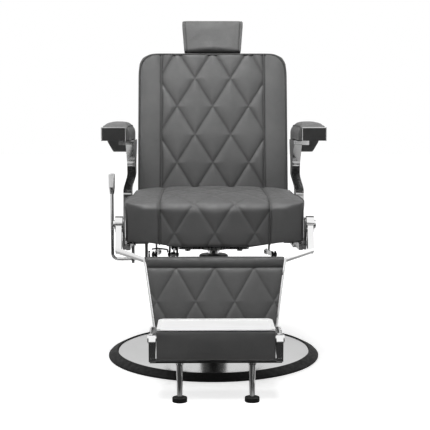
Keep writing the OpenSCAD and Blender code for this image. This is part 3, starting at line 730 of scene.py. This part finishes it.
SHELL_REAR = 62.0      # behind the hinge's plane
BUTTON_UP = 505.0      # the headrest's release button, along the back
BUTTON_HOLE = 8.5      # radius of the hole round it
BAR_SLOT = 26.0        # half width of the opening that the headrest's bar comes out of
shell = Soft("back_shell_cover", "back_shell", 5.0, 0.4, 5, filled=True)
shell.refine()
x, out, up = BACK.local(shell.co)
facing = normals(shell.ob.data) @ BACK.out
seam = np.abs(np.abs(x) - BACK_SEAM)
shell.move(-2.0 * line(seam, 1.8) * (facing < -0.2))
shell_tree = tree_of(shell.ob)
open_to_bar = (np.abs(x) < BAR_SLOT) & (up > BACK_TOP - 30) & (out > -50)
around_button = np.hypot(x, up - BUTTON_UP) < BUTTON_HOLE
shell.cut((facing > 0.35) | open_to_bar | ((facing < -0.5) & around_button))
applied(shell.ob, ("SOLIDIFY", {"thickness": 3.0 * MM, "offset": -1.0}))
finish_piece(shell.ob, "back", "grey_leather", "grey_leather_shell", nodes=("back_shell",))


# ---------------------------------------------------------------- sewing and painted shade, after the swelling

for piece in (back, seat, head, calf, foot, arm):
    piece.refine()

x, out, up = BACK.local(back.co)
facing = normals(back.ob.data) @ BACK.out
front = step(facing, 0.15, 0.5)
inner = 1 - step(np.abs(x), BACK_SEAM - 2, BACK_SEAM)
stitch, seam = BACK_QUILT.distance(x, up), np.abs(np.abs(x) - BACK_SEAM)
back.move(front * (inner * groove(stitch, 1.6, 3.2) + groove(seam, 2.6, 2.4)))
shade = 0.42 * step(up, 320, 70)    # painted shade, darker towards the seat
# darkened stitch lines and seams, partly painted shadow in their channels
darken(back.ob, front * (0.34 * inner * line(stitch, 3.2) + 0.85 * line(seam, 4.4) + shade))

co = seat.co
face = normals(seat.ob.data)
run = seat_run(-co[:, 1] / MM, co[:, 2] / MM)
across = np.abs(co[:, 0]) / MM
front = step(np.maximum(face[:, 2], -face[:, 1]), 0.2, 0.5)
inner = 1 - step(across, SEAT_SEAM - 2, SEAT_SEAM)
stitch, seam = SEAT_QUILT.distance(co[:, 0] / MM, run), np.abs(across - SEAT_SEAM)
seat.move(front * (inner * groove(stitch, 1.6, 2.6) + groove(seam, 2.6, 2.4)))
# darkened stitch lines and seams, partly painted shadow in their channels
darken(seat.ob, front * (0.1 * inner * line(stitch, 2.4) + 0.85 * line(seam, 4.4)))

x, out, down = LEG.local(calf.co)
facing = normals(calf.ob.data) @ LEG.out
front = step(facing, 0.2, 0.6)
inner = front * step(down, CALF_BAND, CALF_BAND + 2)
stitch, seam = CALF_QUILT.distance(x, down), np.abs(down - CALF_BAND)
calf.move(inner * groove(stitch, 1.4, 2.4) + front * groove(seam, 2.0, 2.2))
# painted shade over the whole pad, its plain top band darker still; darkened stitch lines and seam, partly painted
# shadow in their channels
shade = 0.2 + 0.2 * step(down, CALF_BAND, CALF_BAND - 3)
darken(calf.ob, 0.1 * inner * line(stitch, 2.4) + 0.5 * front * line(seam, 2.6) + shade)

# the pillow's side seams, and its lower edge that turns under, both darkened with painted shade
x, out, up = BACK.local(head.co)
low, high = up.min(), up.max()
edge = np.abs(x) - (PILLOW_LOW_X + (PILLOW_TOP_X - PILLOW_LOW_X) * (up - low) / (high - low))
facing = normals(head.ob.data) @ BACK.out
head.move((facing > 0) * groove(edge, 1.4, 2.0))
darken(head.ob, 0.8 * line(edge, 2.4) * (facing > 0) + 0.75 * step(up, low + 16, low + 3))

finish_piece(back.ob, "back", "grey_leather", nodes=("back_cushion",))
finish_piece(seat.ob, "seat", "grey_leather", nodes=("seat_cushion",))
finish_piece(head.ob, "headrest", "grey_leather", nodes=("headrest_cushion",))
finish_piece(calf.ob, "legrest", "grey_leather", nodes=("calf_pad",))
finish_piece(foot.ob, "footboard", "grey_leather", nodes=("footboard_pad",))
finish_piece(arm.ob, "seat", "grey_leather", nodes=("armrest_pad_left",))

# black underneath, and low down on the inside as painted shade
arm.ob.data.materials.append(MATERIALS["piping_leather"])
for face in arm.ob.data.polygons:
    painted_shade_inside = face.normal.x < -0.5 and face.center.z < ARM_SEAT * MM
    face.material_index = int(face.normal.z < -0.85 or painted_shade_inside)

mirrored = arm.ob.data.copy()
write(mirrored, read(mirrored) * (-1, 1, 1))
mirrored.flip_normals()
finish_piece(new_object("armrest_pad_right_cover", mirrored), "seat", "grey_leather",
             nodes=("armrest_pad_right",))


# ---------------------------------------------------------------- piping

SEAM_LIFT = 1.4        # of a cord's middle above the cover, along a seam
SEAM_REAR = -118.0     # where the seat's seams end, under the backrest
SEAM_FOOT = 404.0      # and how far down the front they go
SEAM_TURN = 50.0       # radius of their path round the front edge
CORNER_SET = 21.0      # the corner piping, back from the seat's front
CORNER_FOOT = 424.0    # height of its lower end
BACK_CORNER = 62.0     # radius of the backrest's top corners
PATH_STEP, CORD_STEP = 0.006, 0.008    # metres between points while a path is eased, and in the cord


def cord(name, path, body, radius=CORD, material="piping_leather"):
    ob = new_object(name, tube_mesh(name, spaced(path, CORD_STEP), radius * MM))
    return finish_piece(ob, body, "grey_leather", material)


back_tree, seat_tree, arm_tree = tree_of(back.ob), tree_of(seat.ob), tree_of(arm.ob)

for label, sign in SIDES:
    along = np.linspace(40, BACK_TOP - 12, 90)
    path = laid(back_tree, BACK.world(sign * BACK_SEAM, BACK_FRONT, along), -BACK.out, SEAM_LIFT * MM)
    cord(f"back_bolster_piping_{label}", eased(path), "back", material="cord_leather")

    # the seat's seam: over the top, round the front edge and down the front
    x = sign * SEAT_SEAM * MM
    top = [(x, -d * MM, SEAT_TOP * MM) for d in np.linspace(SEAM_REAR, SEAT_FRONT - SEAM_TURN, 60)]
    path = list(laid(seat_tree, top, (0, 0, -1), SEAM_LIFT * MM))
    bend = [(x, -(SEAT_FRONT - SEAM_TURN + SEAM_TURN * math.sin(t)) * MM,
             (SEAT_TOP - SEAM_TURN + SEAM_TURN * math.cos(t)) * MM) for t in np.linspace(0.1, 1.5, 12)]
    path += list(hugging(seat_tree, bend, SEAM_LIFT * MM))
    fall = [(x, -SEAT_FRONT * MM, z * MM) for z in np.linspace(SEAT_TOP - SEAM_TURN - 4, SEAM_FOOT, 24)]
    path += list(laid(seat_tree, fall, (0, 1, 0), SEAM_LIFT * MM))
    cord(f"seat_bolster_piping_{label}", eased(spaced(path, PATH_STEP), 14), "seat", 2.9, "cord_leather")

    # up the corner between the seat's front and its side, and back along the side's top edge;
    # these points lie just off the cover, and hugging brings them onto it
    corner = CORNER_SET - SEAT_FRONT
    edge = [(SEAT_HALF - 5, corner, z) for z in np.linspace(CORNER_FOOT, SEAT_TOP - SEAT_ROUND - 2, 24)]
    edge += [(SEAT_HALF + 4, corner + SEAT_ROUND * (1 - math.cos(t)),
              SEAT_TOP - SEAT_ROUND * (1 - math.sin(t))) for t in np.linspace(0.1, 1.5, 10)]
    edge += [(SEAT_HALF + 8, -d, SEAT_TOP + 4) for d in np.linspace(SEAT_FRONT - 70, -110, 50)]
    path = hugging(seat_tree, np.array(edge) * (sign * MM, MM, MM), 0.8 * MM)
    cord(f"seat_side_piping_{label}", eased(spaced(path, PATH_STEP), 10), "seat", 2.3)

    for side, inset in (("outer", ARM_HIGH.x / MM - 7), ("inner", ARM_LOW.x / MM + 7)):
        edge = [(inset * MM, y, ARM_HIGH.z - 12 * MM)
                for y in np.linspace(ARM_LOW.y + 0.004, ARM_HIGH.y - 0.02, 60)]
        path = eased(spaced(hugging(arm_tree, edge, 0.5 * MM), PATH_STEP), 10) * (sign, 1, 1)
        cord(f"armrest_{side}_piping_{label}", path, "seat", 1.8)

# up the backrest's sides and over its top, once on the cushion and once on the rear shell
half, low_up, high_up = BACK_HALF - 7, 30.0, BACK_TOP - 3
arch = [(half, 0, low_up)]
for middle, start in ((half - BACK_CORNER, 0), (-half + BACK_CORNER, 90)):
    turns = [math.radians(a) for a in range(start, start + 91, 9)]
    arch += [(middle + BACK_CORNER * math.cos(t), 0, high_up - BACK_CORNER + BACK_CORNER * math.sin(t))
             for t in turns]
arch += [(-half, 0, low_up)]
arch = spaced(arch, 8.0)
for name, tree, out, radius in (("back_edge_piping", back_tree, BACK_FRONT - 6, 3.6),
                                ("back_shell_piping", shell_tree, 6 - SHELL_REAR, 3.0)):
    path = hugging(tree, BACK.world(arch[:, 0], out, arch[:, 2]), 1.0 * MM)
    cord(name, eased(path, 8), "back", radius)


# ---------------------------------------------------------------- CAD pieces that stay

EDGE_RADIUS = 0.9      # broken edges of the hard parts
EDGE_ANGLE = 34        # in degrees: a sharper edge than this is broken
RECORD_SLOT = {s["node"]: s["material_slot"] for s in frame["record"]["subparts"]}
# the step plate's near-white colour is a painted reflection of the bright room
LOOKS = {"base_cover": "chrome_cover", "footboard_plate": "steel_with_painted_reflection", "seat_board": "black_ply",
         "back_board": "black_ply", "calf_board": "black_ply", "headrest_board": "grey_leather_shell"}
for node, ob in NODES.items():
    mesh = ob.data
    mesh.materials.clear()
    mesh.materials.append(MATERIALS[LOOKS.get(node, RECORD_SLOT[node])])
    if ob.hide_render:
        continue
    custom = mesh.attributes.get("custom_normal")
    if custom:
        mesh.attributes.remove(custom)
    mesh.shade_smooth()
    weld = ob.modifiers.new("weld", "WELD")
    weld.merge_threshold = 2e-5
    bevel = ob.modifiers.new("edges", "BEVEL")
    bevel.width = EDGE_RADIUS * MM
    bevel.segments = 2
    bevel.limit_method = "ANGLE"
    bevel.angle_limit = math.radians(EDGE_ANGLE)
    weighted = ob.modifiers.new("normals", "WEIGHTED_NORMAL")
    weighted.keep_sharp = False


# ---------------------------------------------------------------- studio

CAMERA_PLACE = (-0.0402, -3.2503, 0.8261)
CAMERA_TILT = 6.275    # degrees below the horizon
CAMERA_TURN = -0.792   # degrees round Z
CAMERA_LENS = 82.72
FLOOR_RADIUS = 14.0
FLOOR_GLOW = 0.62      # of full white, by the chair
FAR_GLOW = 0.6         # the distant floor, in reflections
ROOM_LOW, ROOM_HIGH = 0.62, 1.1     # the reflected room, level and overhead
ROOM_FILL = 0.07       # the room's light on matt surfaces
CARD_EDGE = 0.5        # more dark cards stand round the chair with a higher value
FLOOR_CARD_EDGE = 0.58              # the same for the dark patches painted on the floor for reflections
CARD_LEVEL = 0.035     # light that comes off a dark card
CARD_BLUR = 0.05       # softness of the cards' edges
MIDDLE = (0.0, 0.0, 0.7)    # what the lights face


def studio_world():
    """White to the camera. Reflections see a bright sky and backdrop, and dark cards in the front half."""
    world = bpy.data.worlds.new("studio")
    SCENE.world = world
    world.use_nodes = True
    tree = world.node_tree
    tree.nodes.clear()

    def add(kind, inputs, **settings):
        node = tree.nodes.new(kind)
        for key, value in settings.items():
            setattr(node, key, value)
        for key, value in inputs.items():
            if isinstance(value, bpy.types.NodeSocket):
                tree.links.new(value, node.inputs[key])
            else:
                node.inputs[key].default_value = value
        return node

    def ranged(value, low, high, to_low=0.0, to_high=1.0):
        return add("ShaderNodeMapRange", {"Value": value, "From Min": low, "From Max": high,
                                          "To Min": to_low, "To Max": to_high}).outputs["Result"]

    way = add("ShaderNodeTexCoord", {}).outputs["Generated"]
    split = add("ShaderNodeSeparateXYZ", {"Vector": way})
    upright = add("ShaderNodeMapping", {"Vector": way, "Scale": (1.0, 1.0, 0.8)}).outputs["Vector"]
    cards = add("ShaderNodeTexNoise", {"Vector": upright, "Scale": 4.5, "Detail": 1.5}).outputs["Fac"]
    beside = add("ShaderNodeMath", {0: split.outputs["X"]}, operation="ABSOLUTE").outputs[0]
    fewer = ranged(beside, 0.6, 0.95, 0.0, 0.12)
    cards = add("ShaderNodeMath", {0: cards, 1: fewer}, operation="ADD").outputs[0]
    cards = ranged(cards, CARD_EDGE, CARD_EDGE + CARD_BLUR)
    sky = ranged(split.outputs["Z"], 0.24, 0.55)
    backdrop = ranged(split.outputs["Y"], 0.15, 0.5)
    open_part = add("ShaderNodeMath", {0: sky, 1: backdrop}, operation="MAXIMUM").outputs[0]
    bright = add("ShaderNodeMath", {0: cards, 1: open_part}, operation="MAXIMUM").outputs[0]
    level = ranged(split.outputs["Z"], 0.0, 0.7, ROOM_LOW, ROOM_HIGH)
    level = add("ShaderNodeMath", {0: level, 1: bright}, operation="MULTIPLY").outputs[0]
    level = add("ShaderNodeMath", {0: level, 1: CARD_LEVEL}, operation="ADD").outputs[0]
    lit = add("ShaderNodeBackground", {"Color": grey(1.0), "Strength": level}).outputs[0]
    soft = add("ShaderNodeBackground", {"Color": grey(1.0), "Strength": ROOM_FILL}).outputs[0]
    seen = add("ShaderNodeBackground", {"Color": grey(1.0), "Strength": 1.0}).outputs[0]
    rays = add("ShaderNodeLightPath", {})
    gloss = add("ShaderNodeMixShader", {0: rays.outputs["Is Glossy Ray"], 1: soft, 2: lit}).outputs[0]
    final = add("ShaderNodeMixShader", {0: rays.outputs["Is Camera Ray"], 1: gloss, 2: seen}).outputs[0]
    add("ShaderNodeOutputWorld", {"Surface": final})


def area_light(name, place, size, power, ratio=1.0):
    """A soft box that faces the chair."""
    light = bpy.data.lights.new(name, "AREA")
    light.shape = "RECTANGLE"
    light.size, light.size_y = size, size * ratio
    light.energy = power
    ob = bpy.data.objects.new(name, light)
    ob.location = place
    ob.rotation_euler = (Vector(MIDDLE) - Vector(place)).to_track_quat("-Z", "Y").to_euler()
    SCENE.collection.objects.link(ob)
    return ob


studio_world()
key = area_light("key_top", (-0.12, -0.72, 1.98), 1.2, 34.0)
# the overhead light would burn out the chrome, which is lit by the room alone
chromed = bpy.data.collections.new("chromed")
for node, slot in RECORD_SLOT.items():
    if slot == "chrome":
        chromed.objects.link(NODES[node])
for entry in chromed.collection_objects:
    entry.light_linking.link_state = "EXCLUDE"
key.light_linking.receiver_collection = chromed
area_light("fill_front", (1.4, -3.0, 1.7), 1.6, 3.0)
area_light("fill_back", (-0.8, 3.0, 1.6), 1.8, 14.0).visible_glossy = False
for name, place in (("rim_left", (-2.4, 0.7, 1.9)), ("rim_right", (2.4, 0.9, 1.9))):
    area_light(name, place, 1.2, 12.0, ratio=1.8).visible_glossy = False

floor_mesh = bpy.data.meshes.new("floor")
work = bmesh.new()
bmesh.ops.create_circle(work, cap_ends=True, segments=96, radius=FLOOR_RADIUS)
work.to_mesh(floor_mesh)
work.free()
# To the camera the floor turns fully white away from the chair, so it has no far edge.
# In reflections only its far part glows. Matt surfaces get no light from the glow.
floor_look = Graph("pale_floor")
floor_look.set(Base_Color=floor_look.ramp(floor_look.noise(0.6), 0.8, 0.83), Roughness=0.85)
away = floor_look.add("ShaderNodeVectorMath", {0: floor_look.coord}, operation="LENGTH").outputs["Value"]
glow = floor_look.range(away, FLOOR_GLOW, 1.0, 0.35, 0.95)
rays = floor_look.add("ShaderNodeLightPath").outputs
far_glow = floor_look.math("MULTIPLY", floor_look.range(away, 0.0, FAR_GLOW, 0.6, 1.6), rays["Is Glossy Ray"])
glow = floor_look.math("ADD", floor_look.math("MULTIPLY", glow, rays["Is Camera Ray"]), far_glow)
floor_look.set(Emission_Color=grey(1.0), Emission_Strength=glow)
floor_look.put(floor_look.shader.inputs["Specular IOR Level"], 0.1)
# painted reflection: polished metal sees dark patches painted on the floor in front of the chair, standing in for
# dark cards; the camera and matt surfaces see the plain floor there
cards = floor_look.noise(2.2, 1.5, floor_look.stretch((4.5, 0.7, 1.0)))
spot = floor_look.add("ShaderNodeSeparateXYZ", {"Vector": floor_look.coord}).outputs
ahead = floor_look.math("MULTIPLY", floor_look.range(spot["Y"], 0.1, 0.0, -1.6, -0.9),
                        floor_look.range(floor_look.math("ABSOLUTE", spot["X"]), 1.0, 0.0, 0.7, 1.2))
cards = floor_look.range(floor_look.math("SUBTRACT", cards, ahead), 1.0, 0.0,
                         FLOOR_CARD_EDGE, FLOOR_CARD_EDGE + CARD_BLUR)
nearby = floor_look.math("MULTIPLY", floor_look.range(away, 0.0, 1.0, 0.4, 0.65),
                         floor_look.range(spot["Y"], 1.0, 0.12, -0.65, -0.1))
nearby = floor_look.math("MULTIPLY", nearby, floor_look.range(away, 1.0, 0.0, 3.6, 5.5))
cards = floor_look.math("MULTIPLY", floor_look.math("MULTIPLY", cards, nearby), rays["Is Glossy Ray"])
dark = floor_look.add("ShaderNodeBsdfDiffuse", {"Color": grey(0.045)})
mixed = floor_look.add("ShaderNodeMixShader", {0: cards, 1: floor_look.shader.outputs[0], 2: dark.outputs[0]})
floor_look.put(floor_look.tree.nodes["Material Output"].inputs["Surface"], mixed.outputs[0])
floor_mesh.materials.append(floor_look.material)
new_object("floor", floor_mesh)

camera = bpy.data.cameras.new("camera")
camera.sensor_width = 36.0
camera.lens = CAMERA_LENS
eye = bpy.data.objects.new("camera", camera)
SCENE.collection.objects.link(eye)
eye.location = CAMERA_PLACE
eye.rotation_euler = (math.radians(90 - CAMERA_TILT), 0.0, math.radians(CAMERA_TURN))
SCENE.camera = eye
SCENE.view_settings.view_transform = "Standard"
